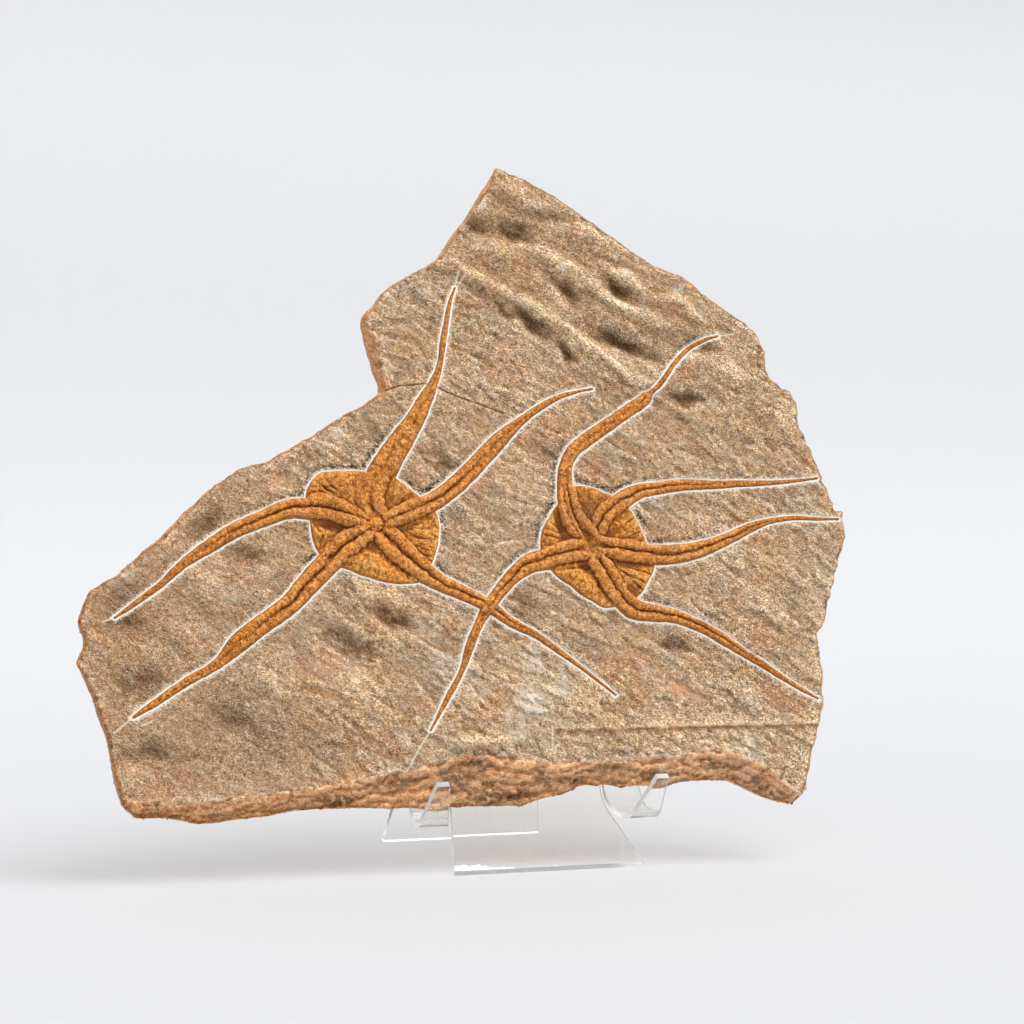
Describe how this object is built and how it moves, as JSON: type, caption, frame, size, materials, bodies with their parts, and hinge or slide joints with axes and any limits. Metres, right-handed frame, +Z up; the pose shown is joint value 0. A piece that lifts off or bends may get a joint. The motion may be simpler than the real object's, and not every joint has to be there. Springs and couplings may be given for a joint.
{
  "type": "fossil brittle star slab on easel",
  "caption": "Broken sandstone slab with fossil brittle stars in low relief, standing on a bent clear acrylic easel.",
  "frame": {"origin": "on the ground, under the middle of the bounding box of slab and easel together", "axes": "+Z up, +X to the right along the slab's width, the fossil face towards -Y"},
  "size_m": [0.317, 0.122, 0.2824],
  "materials": {
    "sandstone": "matt, fine grained, with rough broken edges",
    "fossil": "matt ochre relief, slightly polished on its ridges",
    "acrylic": "clear, flame-smooth faces and bright cut edges"
  },
  "bodies": {
    "root": {"slab": "sandstone", "star_a_disc": "fossil", "star_a_arm_1": "fossil", "star_a_arm_2": "fossil", "star_a_arm_3": "fossil", "star_a_arm_4": "fossil", "star_a_arm_5": "fossil", "star_b_disc": "fossil", "star_b_arm_1": "fossil", "star_b_arm_2": "fossil", "star_b_arm_3": "fossil", "star_b_arm_4": "fossil", "star_b_arm_5": "fossil", "easel": "acrylic"}
  },
  "joints": []
}
